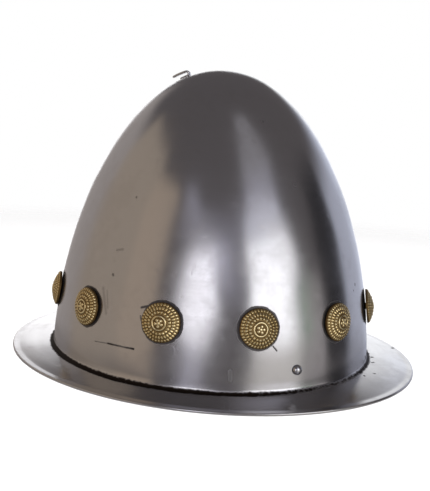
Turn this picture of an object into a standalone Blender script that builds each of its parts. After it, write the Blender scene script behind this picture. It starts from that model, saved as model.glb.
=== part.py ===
"""A steel morion helmet with a tall almond-shaped skull, a narrow brim and twelve brass rosettes.

Metres, +X to the front, +Y to the wearer's left, +Z up. The origin is on the surface that the
brim rests on, at the centre of the helmet.
"""

import math
from collections import namedtuple

import bmesh
import bpy
import numpy as np
from mathutils import Matrix, Vector

# Sheet and overall sizes
SHEET = 0.0016
BRIM_LENGTH = 0.310
BRIM_WIDTH = 0.266
SKULL_LENGTH = 0.2432
SKULL_WIDTH = 0.2272
HEIGHT = 0.2105

# Brim: a flat land at the edge, then a gentle rise to a rounded corner under the skull
BRIM_LAND = 0.004
BRIM_RISE = 0.004
CORNER_RADIUS = 0.003

# The skull's section is a superellipse: height power, then width power
HEIGHT_POWER = 1.66
WIDTH_POWER = 2.1

# Facets
SHELL_SEGMENTS = 64
SKULL_RINGS = 17
CORNER_RINGS = 3
ROSETTE_SEGMENTS = 16
RIVET_SEGMENTS = 10

# Clearances between neighbours
GAP = 0.0003
CLENCH_GAP = 0.0006
HOLE_CLEARANCE = 0.0004

# Rosettes: a domed disc in raised rings, with a shank clenched inside the skull
ROSETTE_COUNT = 12
ROSETTE_HEIGHT_ON_SKULL = 0.0445
ROSETTE_RADIUS = 0.0125
ROSETTE_RISE = 0.0056
ROSETTE_EDGE = 0.0012
SHANK_RADIUS = 0.0015
CLENCH_RADIUS = 0.0032
CLENCH_THICKNESS = 0.0010

# Strap rivets, forward of the sides and just above the brim
STRAP_RIVET_ANGLE = math.radians(48)
STRAP_RIVET_HEIGHT = 0.018
STRAP_RIVET_RADIUS = 0.0032
STRAP_RIVET_RISE = 0.0024

# Stalk: a strip that lies on the skull, folds back over itself and points to the rear
STALK_PLACE = Vector((-0.0290, -0.005))
STALK_THICKNESS = 0.0017
STALK_WIDTH = 0.0048
STALK_TIP_WIDTH = 0.0034
STALK_FOOT = 0.0060
STALK_FOLD_RADIUS = 0.0016
STALK_TONGUE = 0.0115
STALK_OPENING_ANGLE = math.radians(9)
STALK_DROOP_ANGLE = math.radians(14)
STALK_SECTIONS = 6

STEEL_COLOUR = (0.42, 0.42, 0.44, 1.0)
BRASS_COLOUR = (0.62, 0.42, 0.14, 1.0)

Section = namedtuple("Section", "half_length half_width height")
Relief = namedtuple("Relief", "radius_share lift")

ROSETTE_RELIEF = (
    Relief(0.16, 0.0004),
    Relief(0.24, -0.0004),
    Relief(0.36, 0.0004),
    Relief(0.46, -0.0003),
    Relief(0.60, 0.0003),
    Relief(0.70, -0.0003),
    Relief(0.88, 0.0003),
)


def clear_scene():
    """Remove every object of the open scene."""
    for thing in list(bpy.data.objects):
        bpy.data.objects.remove(thing, do_unlink=True)


def make_material(name, colour, roughness):
    """Return a metal with the given colour and roughness."""
    material = bpy.data.materials.new(name)
    material.use_nodes = True
    shader = material.node_tree.nodes["Principled BSDF"]
    shader.inputs["Base Color"].default_value = colour
    shader.inputs["Metallic"].default_value = 1.0
    shader.inputs["Roughness"].default_value = roughness
    material.diffuse_color = colour
    return material


def make_object(name, mesh_builder, material=None):
    """Turn a bmesh into an object that faces out, and link it to the scene."""
    bmesh.ops.recalc_face_normals(mesh_builder, faces=mesh_builder.faces)
    mesh = bpy.data.meshes.new(name)
    mesh_builder.to_mesh(mesh)
    mesh_builder.free()
    mesh.shade_smooth()
    mesh.set_sharp_from_angle(angle=math.radians(35))
    if material:
        mesh.materials.append(material)
    thing = bpy.data.objects.new(name, mesh)
    bpy.context.scene.collection.objects.link(thing)
    return thing


def make_guide(name, mesh_builder):
    """Return an object that only shapes others."""
    guide = make_object(name, mesh_builder)
    guide.hide_render = True
    guide.display_type = "WIRE"
    return guide


def add_boolean(thing, operation, guide):
    """Join or cut a thing with a guide."""
    modifier = thing.modifiers.new(operation.title(), "BOOLEAN")
    modifier.operation = operation
    modifier.solver = "EXACT"
    modifier.object = guide


def add_ring(builder, points):
    """Add a closed ring of vertices."""
    return [builder.verts.new(point) for point in points]


def bridge(builder, first, second):
    """Fill the band between two rings that have equal counts of vertices."""
    count = len(first)
    for i in range(count):
        j = (i + 1) % count
        builder.faces.new((first[i], first[j], second[j], second[i]))


def close_to_point(builder, ring, point):
    """Fill a ring with a fan round one point."""
    centre = builder.verts.new(point)
    count = len(ring)
    for i in range(count):
        builder.faces.new((ring[i], ring[(i + 1) % count], centre))


def turn(builder, profile, segments, frame):
    """Turn a profile of (radius, height) pairs about the frame's Z axis.

    The profile begins and ends on the axis, and its inner points make rings.
    """
    angles = np.linspace(0, 2 * math.pi, segments, endpoint=False)
    rings = []
    for radius, height in profile[1:-1]:
        points = [frame @ Vector((radius * math.cos(a), radius * math.sin(a), height)) for a in angles]
        rings.append(add_ring(builder, points))
    for first, second in zip(rings, rings[1:]):
        bridge(builder, first, second)
    close_to_point(builder, rings[0], frame @ Vector((0, 0, profile[0][1])))
    close_to_point(builder, rings[-1], frame @ Vector((0, 0, profile[-1][1])))


def skull_share(height):
    """Return the skull's width at a height, as a share of its width at the brim."""
    rise = (height - BRIM_RISE) / (HEIGHT - BRIM_RISE)
    return (1 - rise**HEIGHT_POWER) ** (1 / WIDTH_POWER)


def skull_height(share):
    """Return the height at which the skull has a share of its width at the brim."""
    rise = (1 - share**WIDTH_POWER) ** (1 / HEIGHT_POWER)
    return BRIM_RISE + (HEIGHT - BRIM_RISE) * rise


def skull_point(angle, height):
    """Return a point of the skull's outer face, with the angle counted from +X towards -Y."""
    share = skull_share(height)
    x = SKULL_LENGTH / 2 * share * math.cos(angle)
    y = -SKULL_WIDTH / 2 * share * math.sin(angle)
    return Vector((x, y, height))


def skull_frame(angle, height):
    """Return a frame on the outer face: Z along the outward normal, X level along the skull."""
    step = 1e-4
    along = skull_point(angle + step, height) - skull_point(angle - step, height)
    upward = skull_point(angle, height + step) - skull_point(angle, height - step)
    level = along.normalized()
    normal = upward.cross(level).normalized()
    side = normal.cross(level)
    rotation = Matrix((level, side, normal)).transposed().to_4x4()
    return Matrix.Translation(skull_point(angle, height)) @ rotation


def stalk_frame():
    """Return a frame on the skull under the stalk's foot: X forwards along the skull, Z outwards."""
    half_length = SKULL_LENGTH / 2
    half_width = SKULL_WIDTH / 2

    def on_skull(x, y):
        return Vector((x, y, skull_height(math.hypot(x / half_length, y / half_width))))

    step = 1e-4
    x, y = STALK_PLACE
    forward = (on_skull(x + step, y) - on_skull(x - step, y)).normalized()
    leftward = on_skull(x, y + step) - on_skull(x, y - step)
    normal = forward.cross(leftward).normalized()
    left = normal.cross(forward)
    rotation = Matrix((forward, left, normal)).transposed().to_4x4()
    return Matrix.Translation(on_skull(x, y)) @ rotation


def equal_arc_angles(half_length, half_width, count):
    """Return angles that space points evenly along an ellipse, the first at +X."""
    fine = np.linspace(0, 2 * math.pi, 1441)
    steps = np.hypot(np.diff(half_length * np.cos(fine)), np.diff(half_width * np.sin(fine)))
    walked = np.concatenate(([0], np.cumsum(steps)))
    return np.interp(np.arange(count) * walked[-1] / count, walked, fine)


def outer_sections():
    """Return the outer face's sections, from the brim's edge to just below the top."""
    length, width = BRIM_LENGTH / 2, BRIM_WIDTH / 2
    foot_length, foot_width = SKULL_LENGTH / 2, SKULL_WIDTH / 2
    sections = [Section(length, width, SHEET)]
    sections.append(Section(length - BRIM_LAND, width - BRIM_LAND, SHEET))
    for turned in np.linspace(0, math.pi / 2, CORNER_RINGS, endpoint=False):
        reach = CORNER_RADIUS * (1 - math.sin(turned))
        rise = CORNER_RADIUS * (1 - math.cos(turned))
        sections.append(Section(foot_length + reach, foot_width + reach, BRIM_RISE + rise))
    start = math.asin((CORNER_RADIUS / (HEIGHT - BRIM_RISE)) ** (HEIGHT_POWER / 2))
    for climb in np.linspace(start, math.pi / 2, SKULL_RINGS, endpoint=False):
        height = BRIM_RISE + (HEIGHT - BRIM_RISE) * math.sin(climb) ** (2 / HEIGHT_POWER)
        share = skull_share(height)
        sections.append(Section(foot_length * share, foot_width * share, height))
    return sections


def section_normals(radii, heights):
    """Return the unit normals of a profile that climbs inwards, on its outer side."""
    along_radius = np.gradient(radii)
    along_height = np.gradient(heights)
    size = np.hypot(along_radius, along_height)
    return along_height / size, -along_radius / size


def inner_sections(sections):
    """Return the sections of the inner face, one sheet thickness inside the outer ones."""
    lengths, widths, heights = (np.array(values) for values in zip(*sections))
    length_out, length_up = section_normals(lengths, heights)
    width_out, width_up = section_normals(widths, heights)
    upward = (length_up + width_up) / 2
    inner = [
        Section(*values)
        for values in zip(lengths - SHEET * length_out, widths - SHEET * width_out, heights - SHEET * upward)
    ]
    inner[0] = Section(sections[0].half_length, sections[0].half_width, 0.0)
    inner[1] = Section(sections[1].half_length, sections[1].half_width, 0.0)
    return inner


def ellipse_points(section):
    """Return the shell's points round one section."""
    angles = np.linspace(0, 2 * math.pi, SHELL_SEGMENTS, endpoint=False)
    return [
        Vector((section.half_length * math.cos(a), section.half_width * math.sin(a), section.height))
        for a in angles
    ]


def build_shell(material):
    """Build the skull and brim as one sheet."""
    builder = bmesh.new()
    outer = outer_sections()
    outer_rings = [add_ring(builder, ellipse_points(section)) for section in outer]
    inner_rings = [add_ring(builder, ellipse_points(section)) for section in inner_sections(outer)]
    for rings in (outer_rings, inner_rings):
        for first, second in zip(rings, rings[1:]):
            bridge(builder, first, second)
    bridge(builder, outer_rings[0], inner_rings[0])
    close_to_point(builder, outer_rings[-1], Vector((0, 0, HEIGHT)))
    close_to_point(builder, inner_rings[-1], Vector((0, 0, HEIGHT - SHEET)))
    return make_object("helmet_shell", builder, material)


def shank_profile():
    """Return the profile of a shank with its clenched end, from the back of its head inwards."""
    inside = -SHEET - CLENCH_GAP
    return [
        (SHANK_RADIUS, GAP),
        (SHANK_RADIUS, inside),
        (CLENCH_RADIUS, inside),
        (CLENCH_RADIUS * 0.7, inside - CLENCH_THICKNESS),
        (0.0, inside - CLENCH_THICKNESS),
    ]


def rosette_profile():
    """Return the profile of a rosette, from the top of its boss to the end of its shank."""
    crown = ROSETTE_RISE - ROSETTE_EDGE
    profile = [(0.0, GAP + ROSETTE_RISE + ROSETTE_RELIEF[0].lift)]
    for row in ROSETTE_RELIEF:
        dome = ROSETTE_EDGE + crown * (1 - row.radius_share**2)
        profile.append((ROSETTE_RADIUS * row.radius_share, GAP + dome + row.lift))
    profile.append((ROSETTE_RADIUS, GAP + ROSETTE_EDGE))
    profile.append((ROSETTE_RADIUS, GAP))
    return profile + shank_profile()


def strap_rivet_profile():
    """Return the profile of a strap rivet, from the top of its round head to its end."""
    profile = [(0.0, GAP + STRAP_RIVET_RISE)]
    for turned in np.radians((30, 60, 85)):
        height = STRAP_RIVET_RISE * math.cos(turned)
        profile.append((STRAP_RIVET_RADIUS * math.sin(turned), GAP + height))
    profile.append((STRAP_RIVET_RADIUS, GAP))
    return profile + shank_profile()


def rosette_frames():
    """Return the frame of each rosette, the first at the front centre."""
    share = skull_share(ROSETTE_HEIGHT_ON_SKULL)
    angles = equal_arc_angles(SKULL_LENGTH / 2 * share, SKULL_WIDTH / 2 * share, ROSETTE_COUNT)
    return [skull_frame(angle, ROSETTE_HEIGHT_ON_SKULL) for angle in angles]


def strap_rivet_frames():
    """Return the frames of the right and the left strap rivet."""
    return [
        skull_frame(STRAP_RIVET_ANGLE, STRAP_RIVET_HEIGHT),
        skull_frame(-STRAP_RIVET_ANGLE, STRAP_RIVET_HEIGHT),
    ]


def build_rosettes(material):
    """Build the brass rosettes, which share one mesh."""
    builder = bmesh.new()
    turn(builder, rosette_profile(), ROSETTE_SEGMENTS, Matrix.Identity(4))
    first = make_object("rosette_01", builder, material)
    for number, frame in enumerate(rosette_frames(), start=1):
        rosette = first
        if number > 1:
            rosette = bpy.data.objects.new(f"rosette_{number:02d}", first.data)
            bpy.context.scene.collection.objects.link(rosette)
        rosette.matrix_world = frame


def build_strap_rivets(material):
    """Build the two round-headed rivets that held the strap."""
    for side, frame in zip(("right", "left"), strap_rivet_frames()):
        builder = bmesh.new()
        turn(builder, strap_rivet_profile(), RIVET_SEGMENTS, Matrix.Identity(4))
        make_object(f"strap_rivet_{side}", builder, material).matrix_world = frame


def stalk_path():
    """Return the middle line of the stalk's strip as (x, z, direction angle) in the stalk's frame.

    The line runs forwards along the foot, folds up and back, then runs to the rear and droops.
    """
    level = GAP + STALK_THICKNESS / 2
    path = [(-STALK_FOOT / 2, level, 0.0)]
    folded = math.pi - STALK_OPENING_ANGLE
    for turned in np.linspace(0, folded, STALK_SECTIONS):
        x = STALK_FOOT / 2 + STALK_FOLD_RADIUS * math.sin(turned)
        z = level + STALK_FOLD_RADIUS * (1 - math.cos(turned))
        path.append((x, z, turned))
    x, z, heading = path[-1]
    step = STALK_TONGUE / STALK_SECTIONS
    for _ in range(STALK_SECTIONS):
        heading += STALK_DROOP_ANGLE / STALK_SECTIONS
        x += step * math.cos(heading)
        z += step * math.sin(heading)
        path.append((x, z, heading))
    return path


def build_stalk(material):
    """Build the bent steel tongue with its pin."""
    builder = bmesh.new()
    path = stalk_path()
    corners = ((1, 0.5), (0.75, 1), (-0.75, 1), (-1, 0.5), (-1, -0.5), (-0.75, -1), (0.75, -1), (1, -0.5))
    fold_end = len(path) - STALK_SECTIONS
    rings = []
    for number, (x, z, heading) in enumerate(path):
        taper = max(0, number - fold_end + 1) / STALK_SECTIONS
        half_width = (STALK_WIDTH + (STALK_TIP_WIDTH - STALK_WIDTH) * taper) / 2
        half_thickness = STALK_THICKNESS / 2
        points = []
        for across, through in corners:
            out = through * half_thickness
            offset = Vector((-out * math.sin(heading), across * half_width, out * math.cos(heading)))
            points.append(Vector((x, 0, z)) + offset)
        rings.append(add_ring(builder, points))
    for first, second in zip(rings, rings[1:]):
        bridge(builder, first, second)
    builder.faces.new(rings[0])
    builder.faces.new(rings[-1])
    stalk = make_object("stalk", builder, material)
    stalk.matrix_world = stalk_frame()
    add_boolean(stalk, "UNION", build_stalk_pin())


def build_stalk_pin():
    """Build the pin, from inside the middle of the foot to its clenched end inside the skull."""
    builder = bmesh.new()
    inside_foot = GAP + STALK_THICKNESS / 2
    profile = [(0.0, inside_foot), (SHANK_RADIUS, inside_foot)] + shank_profile()[1:]
    turn(builder, profile, RIVET_SEGMENTS, Matrix.Identity(4))
    pin = make_guide("stalk_pin_guide", builder)
    pin.matrix_world = stalk_frame()
    return pin


def build_hole_cutter():
    """Build the cutter for the holes of every fixing."""
    builder = bmesh.new()
    radius = SHANK_RADIUS + HOLE_CLEARANCE
    reach = 2 * SHEET
    profile = [(0.0, reach), (radius, reach), (radius, -2 * reach), (0.0, -2 * reach)]
    for frame in rosette_frames() + strap_rivet_frames() + [stalk_frame()]:
        turn(builder, profile, RIVET_SEGMENTS, frame)
    return make_guide("hole_cutter", builder)


def main():
    """Build the helmet."""
    clear_scene()
    steel = make_material("polished_steel", STEEL_COLOUR, 0.28)
    rivet_steel = make_material("rivet_steel", STEEL_COLOUR, 0.22)
    stalk_steel = make_material("stalk_steel", STEEL_COLOUR, 0.30)
    brass = make_material("cast_brass", BRASS_COLOUR, 0.38)
    shell = build_shell(steel)
    add_boolean(shell, "DIFFERENCE", build_hole_cutter())
    build_rosettes(brass)
    build_strap_rivets(rivet_steel)
    build_stalk(stalk_steel)


if __name__ == "__main__":
    main()
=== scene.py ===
"""A polished steel morion helmet with a tall skull, a narrow brim and twelve cast brass rosettes.

Metres, +X to the front, +Y to the wearer's left, +Z up. The brim rests on the floor at Z = 0.
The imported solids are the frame. Each finished piece here stands for the solid of its name.
"""

import sys

import logging
import math
from dataclasses import dataclass, field
from enum import Enum
from typing import Sequence, Union

import bpy
import numpy as np
from mathutils import Matrix


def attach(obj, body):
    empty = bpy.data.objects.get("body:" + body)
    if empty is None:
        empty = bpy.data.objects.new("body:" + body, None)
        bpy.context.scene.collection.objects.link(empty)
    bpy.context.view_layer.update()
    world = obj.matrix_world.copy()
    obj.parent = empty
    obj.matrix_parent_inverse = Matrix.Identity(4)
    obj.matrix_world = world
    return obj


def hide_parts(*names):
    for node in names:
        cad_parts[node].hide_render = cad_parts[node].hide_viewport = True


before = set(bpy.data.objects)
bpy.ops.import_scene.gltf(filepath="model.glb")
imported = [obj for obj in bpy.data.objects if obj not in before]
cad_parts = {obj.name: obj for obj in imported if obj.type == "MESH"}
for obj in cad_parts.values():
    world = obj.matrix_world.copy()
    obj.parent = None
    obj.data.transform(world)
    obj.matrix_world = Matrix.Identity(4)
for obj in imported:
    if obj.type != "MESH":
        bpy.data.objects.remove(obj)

LOG = logging.getLogger("morion")
MM = 0.001

Socket = bpy.types.NodeSocket
Vector3 = tuple[float, float, float]
Value = Union[Socket, float, Vector3, tuple[float, float, float, float]]


class Slot(Enum):
    """The record's material slots."""

    STEEL = "polished_steel"
    RIVET = "rivet_steel"
    STALK = "stalk_steel"
    BRASS = "cast_brass"


# --------------------------------------------------------------------------- shapes as arrays


def turn_frame(level: np.ndarray, upward: np.ndarray, origin: np.ndarray) -> np.ndarray:
    """Return a 4 by 4 frame on a surface, with X along `level` and Z along the outward normal.

    Args:
        level: A tangent that becomes X.
        upward: A second tangent, on the side of Y.
        origin: The frame's origin.

    Returns:
        The matrix whose columns are X, Y, Z and the origin.
    """
    along = level / np.linalg.norm(level)
    normal = np.cross(along, upward)
    normal /= np.linalg.norm(normal)
    placed = np.eye(4)
    placed[:3, 0], placed[:3, 1], placed[:3, 2], placed[:3, 3] = along, np.cross(normal, along), normal, origin
    return placed


def place(points: np.ndarray, matrix: np.ndarray) -> np.ndarray:
    """Return points carried from a frame into the helmet's frame."""
    return points @ matrix[:3, :3].T + matrix[:3, 3]


def smooth_step(values: np.ndarray, low: float, high: float) -> np.ndarray:
    """Return 0 below `low`, 1 above `high` and the cubic 3t^2 - 2t^3 between them."""
    share = np.clip((values - low) / (high - low), 0.0, 1.0)
    return share * share * (3.0 - 2.0 * share)


@dataclass
class Skin:
    """A closed skin: rings of points in rows, with a pole beyond the first and the last row.

    Attributes:
        rings: Points as rows by columns by 3. Each row is a closed ring.
        first_pole: The point that closes the first row.
        last_pole: The point that closes the last row.
        around: The share of the turn at each column's edge, one more than the columns.
        along: The distance along the profile at each row, in metres.
        masks: Named values as rows by columns, which become point attributes.
    """

    rings: np.ndarray
    first_pole: np.ndarray
    last_pole: np.ndarray
    around: np.ndarray
    along: np.ndarray
    masks: dict[str, np.ndarray] = field(default_factory=dict)

    def points(self) -> np.ndarray:
        """Return all points, the rings first and then the two poles."""
        return np.vstack((self.rings.reshape(-1, 3), self.first_pole, self.last_pole))

    def mask(self, name: str) -> np.ndarray:
        """Return one value for each point. A pole takes the mean of the row beside it."""
        values = self.masks.get(name, np.zeros(self.rings.shape[:2]))
        return np.concatenate((values.ravel(), [values[0].mean(), values[-1].mean()]))

    def quads(self) -> np.ndarray:
        """Return the corners of the faces between neighbouring rows, four to a face."""
        rows, columns = self.rings.shape[:2]
        row, column = np.meshgrid(np.arange(rows - 1), np.arange(columns), indexing="ij")
        following = (column + 1) % columns
        corners = (row * columns + column, row * columns + following)
        corners += ((row + 1) * columns + following, (row + 1) * columns + column)
        return np.stack(corners, axis=-1).reshape(-1, 4)

    def fans(self) -> np.ndarray:
        """Return the corners of the faces round the two poles, three to a face."""
        rows, columns = self.rings.shape[:2]
        column = np.arange(columns)
        following = (column + 1) % columns
        first = np.stack((np.full(columns, rows * columns), following, column), axis=-1)
        base = (rows - 1) * columns
        last = np.stack((np.full(columns, rows * columns + 1), base + column, base + following), axis=-1)
        return np.vstack((first, last))

    def quad_uv(self) -> np.ndarray:
        """Return the map coordinates of the quads' corners: share of the turn, distance along."""
        rows, columns = self.rings.shape[:2]
        row, column = np.meshgrid(np.arange(rows - 1), np.arange(columns), indexing="ij")
        around, along = self.around, self.along
        corners = [(around[column], along[row]), (around[column + 1], along[row])]
        corners += [(around[column + 1], along[row + 1]), (around[column], along[row + 1])]
        return np.stack([np.stack(pair, axis=-1) for pair in corners], axis=-2).reshape(-1, 2)

    def fan_uv(self) -> np.ndarray:
        """Return the map coordinates of the fans' corners, with each pole in its face's middle."""
        near, far = self.around[:-1], self.around[1:]
        middle = (near + far) / 2
        first, last = np.full_like(near, self.along[0]), np.full_like(near, self.along[-1])
        start = np.stack((middle, first, far, first, near, first), axis=-1)
        end = np.stack((middle, last, near, last, far, last), axis=-1)
        return np.vstack((start, end)).reshape(-1, 2)

    def faces_inwards(self) -> bool:
        """Return whether the faces point inwards, by the sign of the volume that they enclose."""
        points, quads, fans = self.points(), self.quads(), self.fans()
        triangles = np.vstack((quads[:, (0, 1, 2)], quads[:, (0, 2, 3)], fans))
        first, second, third = (points[triangles[:, corner]] for corner in range(3))
        return float(np.einsum("ij,ij->", first, np.cross(second, third))) < 0.0


def build_mesh(name: str, skins: Sequence[Skin]) -> bpy.types.Mesh:
    """Put closed skins into one smooth mesh, with their map coordinates and masks.

    Args:
        name: The mesh's name.
        skins: The skins, each closed in itself.

    Returns:
        The mesh, with every face outwards.
    """
    corners, starts, sizes, maps = [], [], [], []
    offset, loop_count = 0, 0
    for skin in skins:
        for faces, uv in ((skin.quads(), skin.quad_uv()), (skin.fans(), skin.fan_uv())):
            width = faces.shape[1]
            uv = uv.reshape(len(faces), width, 2)
            if skin.faces_inwards():
                faces, uv = faces[:, ::-1], uv[:, ::-1]
            corners.append((faces + offset).ravel())
            maps.append(uv.ravel())
            starts.append(loop_count + np.arange(len(faces)) * width)
            sizes.append(np.full(len(faces), width))
            loop_count += faces.size
        offset += len(skin.points())
    mesh = bpy.data.meshes.new(name)
    mesh.vertices.add(offset)
    mesh.vertices.foreach_set("co", np.vstack([skin.points() for skin in skins]).astype(np.float32).ravel())
    mesh.loops.add(loop_count)
    mesh.loops.foreach_set("vertex_index", np.concatenate(corners).astype(np.int32))
    mesh.polygons.add(sum(len(start) for start in starts))
    mesh.polygons.foreach_set("loop_start", np.concatenate(starts).astype(np.int32))
    mesh.polygons.foreach_set("loop_total", np.concatenate(sizes).astype(np.int32))
    mesh.uv_layers.new(name="surface").data.foreach_set("uv", np.concatenate(maps).astype(np.float32))
    for mask in sorted({name for skin in skins for name in skin.masks}):
        values = np.concatenate([skin.mask(mask) for skin in skins]).astype(np.float32)
        mesh.attributes.new(mask, "FLOAT", "POINT").data.foreach_set("value", values)
    mesh.update(calc_edges=True)
    mesh.validate()
    mesh.shade_smooth()
    return mesh


def finish_piece(name: str, mesh: bpy.types.Mesh, material: bpy.types.Material) -> bpy.types.Object:
    """Make a piece of a mesh, dress it, and let it stand for the solid of the same name.

    Args:
        name: The solid's name, which the piece takes with `_finish` behind it.
        mesh: The piece's mesh, already in place.
        material: The finish.

    Returns:
        The new object.
    """
    piece = bpy.data.objects.new(f"{name}_finish", mesh)
    bpy.context.scene.collection.objects.link(piece)
    mesh.materials.append(material)
    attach(piece, "root")
    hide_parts(name)
    triangles = sum(len(polygon.vertices) - 2 for polygon in mesh.polygons)
    LOG.info("%s: %d triangles, %s", piece.name, triangles, material.name)
    return piece


# --------------------------------------------------------------------------- the helmet's form


@dataclass(frozen=True)
class HelmetForm:
    """The sizes that every piece shares, and the surface that they sit on.

    A section of the skull is an ellipse whose size falls with the height:
    share = (1 - rise^height_power)^(1/width_power), with rise from 0 at the brim to 1 at the top.
    """

    sheet: float = 0.0016
    brim_length: float = 0.310
    brim_width: float = 0.266
    brim_land: float = 0.004
    brim_rise: float = 0.004
    corner_radius: float = 0.003
    skull_length: float = 0.2432
    skull_width: float = 0.2272
    height: float = 0.2105
    height_power: float = 1.66
    width_power: float = 2.1
    gap: float = 0.0003
    clench_gap: float = 0.0006
    rosette_count: int = 12
    rosette_height: float = 0.0445
    strap_rivet_angle: float = math.radians(48)
    strap_rivet_height: float = 0.018
    stalk_place: tuple[float, float] = (-0.0290, -0.005)

    def share(self, height: np.ndarray) -> np.ndarray:
        """Return the skull's width at a height, as a share of its width at the brim."""
        rise = (height - self.brim_rise) / (self.height - self.brim_rise)
        return np.clip(1.0 - rise**self.height_power, 0.0, 1.0) ** (1.0 / self.width_power)

    def height_of(self, share: np.ndarray) -> np.ndarray:
        """Return the height at which the skull has a share of its width at the brim."""
        rise = (1.0 - share**self.width_power) ** (1.0 / self.height_power)
        return self.brim_rise + (self.height - self.brim_rise) * rise

    def skull_point(self, angle: float, height: float) -> np.ndarray:
        """Return a point of the skull's outer face, with the angle counted from +X towards -Y."""
        share = float(self.share(np.float64(height)))
        x = self.skull_length / 2 * share * math.cos(angle)
        y = -self.skull_width / 2 * share * math.sin(angle)
        return np.array((x, y, height))

    def skull_frame(self, angle: float, height: float) -> np.ndarray:
        """Return a frame on the skull: X level, Y up the skull or down it, Z outwards."""
        step = 1e-4
        level = self.skull_point(angle + step, height) - self.skull_point(angle - step, height)
        upward = self.skull_point(angle, height + step) - self.skull_point(angle, height - step)
        return turn_frame(level, -upward, self.skull_point(angle, height))

    def stalk_frame(self) -> np.ndarray:
        """Return a frame under the stalk's foot: X forwards along the skull, Z outwards."""

        def on_skull(x: float, y: float) -> np.ndarray:
            share = math.hypot(x / (self.skull_length / 2), y / (self.skull_width / 2))
            return np.array((x, y, self.height_of(np.float64(share))))

        step = 1e-4
        x, y = self.stalk_place
        forward = on_skull(x + step, y) - on_skull(x - step, y)
        leftward = on_skull(x, y + step) - on_skull(x, y - step)
        return turn_frame(forward, leftward, on_skull(x, y))

    def walk(self, height: float, count: int) -> np.ndarray:
        """Return angles that space `count` points evenly round the skull at a height."""
        share = float(self.share(np.float64(height)))
        fine = np.linspace(0.0, 2 * math.pi, 1441)
        steps_x = np.diff(self.skull_length / 2 * share * np.cos(fine))
        steps_y = np.diff(self.skull_width / 2 * share * np.sin(fine))
        walked = np.concatenate(([0.0], np.cumsum(np.hypot(steps_x, steps_y))))
        return np.interp(np.arange(count) * walked[-1] / count, walked, fine)

    def rosette_frames(self) -> list[np.ndarray]:
        """Return the frame of each rosette, the first at the front centre."""
        angles = self.walk(self.rosette_height, self.rosette_count)
        return [self.skull_frame(angle, self.rosette_height) for angle in angles]


FORM = HelmetForm()


# --------------------------------------------------------------------------- node tools


class Bench:
    """Lays out the nodes of one tree and joins them."""

    def __init__(self, tree: bpy.types.NodeTree) -> None:
        """Keep the tree and start at its left edge."""
        self.tree = tree
        self.count = 0

    def add(self, kind: str, inputs: dict[Union[str, int], Value] | None = None, **settings: object) -> bpy.types.Node:
        """Add a node.

        Args:
            kind: The node's type.
            inputs: Sockets or plain values by the input's name or number.
            **settings: Properties of the node.

        Returns:
            The node.
        """
        node = self.tree.nodes.new(kind)
        node.location = (self.count % 12 * 180, -(self.count // 12) * 260)
        self.count += 1
        for key, value in settings.items():
            setattr(node, key, value)
        for key, value in (inputs or {}).items():
            self.feed(node.inputs[key], value)
        return node

    def feed(self, target: Socket, value: Value) -> None:
        """Join a socket to an input, or set the input's own value."""
        if isinstance(value, bpy.types.NodeSocket):
            self.tree.links.new(value, target)
        else:
            target.default_value = value

    def math(self, operation: str, first: Value, second: Value = 0.0, third: Value = 0.0) -> Socket:
        """Return the result of a scalar operation."""
        return self.add("ShaderNodeMath", {0: first, 1: second, 2: third}, operation=operation).outputs[0]

    def vector(self, operation: str, first: Value, second: Value = (0.0, 0.0, 0.0)) -> Socket:
        """Return the vector result of a vector operation."""
        return self.add("ShaderNodeVectorMath", {0: first, 1: second}, operation=operation).outputs["Vector"]

    def length(self, vector: Value) -> Socket:
        """Return the length of a vector."""
        return self.add("ShaderNodeVectorMath", {0: vector}, operation="LENGTH").outputs["Value"]

    def window(self, value: Value, low: Value, high: Value, start: float = 0.0, end: float = 1.0) -> Socket:
        """Return a value eased from `start` at `low` to `end` at `high`."""
        inputs = {"Value": value, "From Min": low, "From Max": high, "To Min": start, "To Max": end}
        return self.add("ShaderNodeMapRange", inputs, interpolation_type="SMOOTHSTEP").outputs["Result"]

    def noise(self, vector: Value, scale: Value, detail: float = 3.0, rough: float = 0.5) -> Socket:
        """Return a noise value about 0.5."""
        inputs = {"Vector": vector, "Scale": scale, "Detail": detail, "Roughness": rough}
        return self.add("ShaderNodeTexNoise", inputs).outputs["Fac"]

    def mix(self, factor: Value, first: Value, second: Value, blend: str = "MIX") -> Socket:
        """Return two colours mixed by a factor."""
        node = self.add("ShaderNodeMix", data_type="RGBA", blend_type=blend)
        self.feed(node.inputs[0], factor)
        self.feed(node.inputs[6], first)
        self.feed(node.inputs[7], second)
        return node.outputs[2]

    def attribute(self, name: str) -> Socket:
        """Return a mask of the mesh."""
        return self.add("ShaderNodeAttribute", attribute_name=name).outputs["Fac"]

    def place_vector(self, vector: Value, scale: Vector3, location: Vector3 = (0.0, 0.0, 0.0)) -> Socket:
        """Return coordinates scaled and moved by a Mapping node."""
        inputs = {"Vector": vector, "Scale": scale, "Location": location}
        return self.add("ShaderNodeMapping", inputs).outputs["Vector"]


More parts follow.
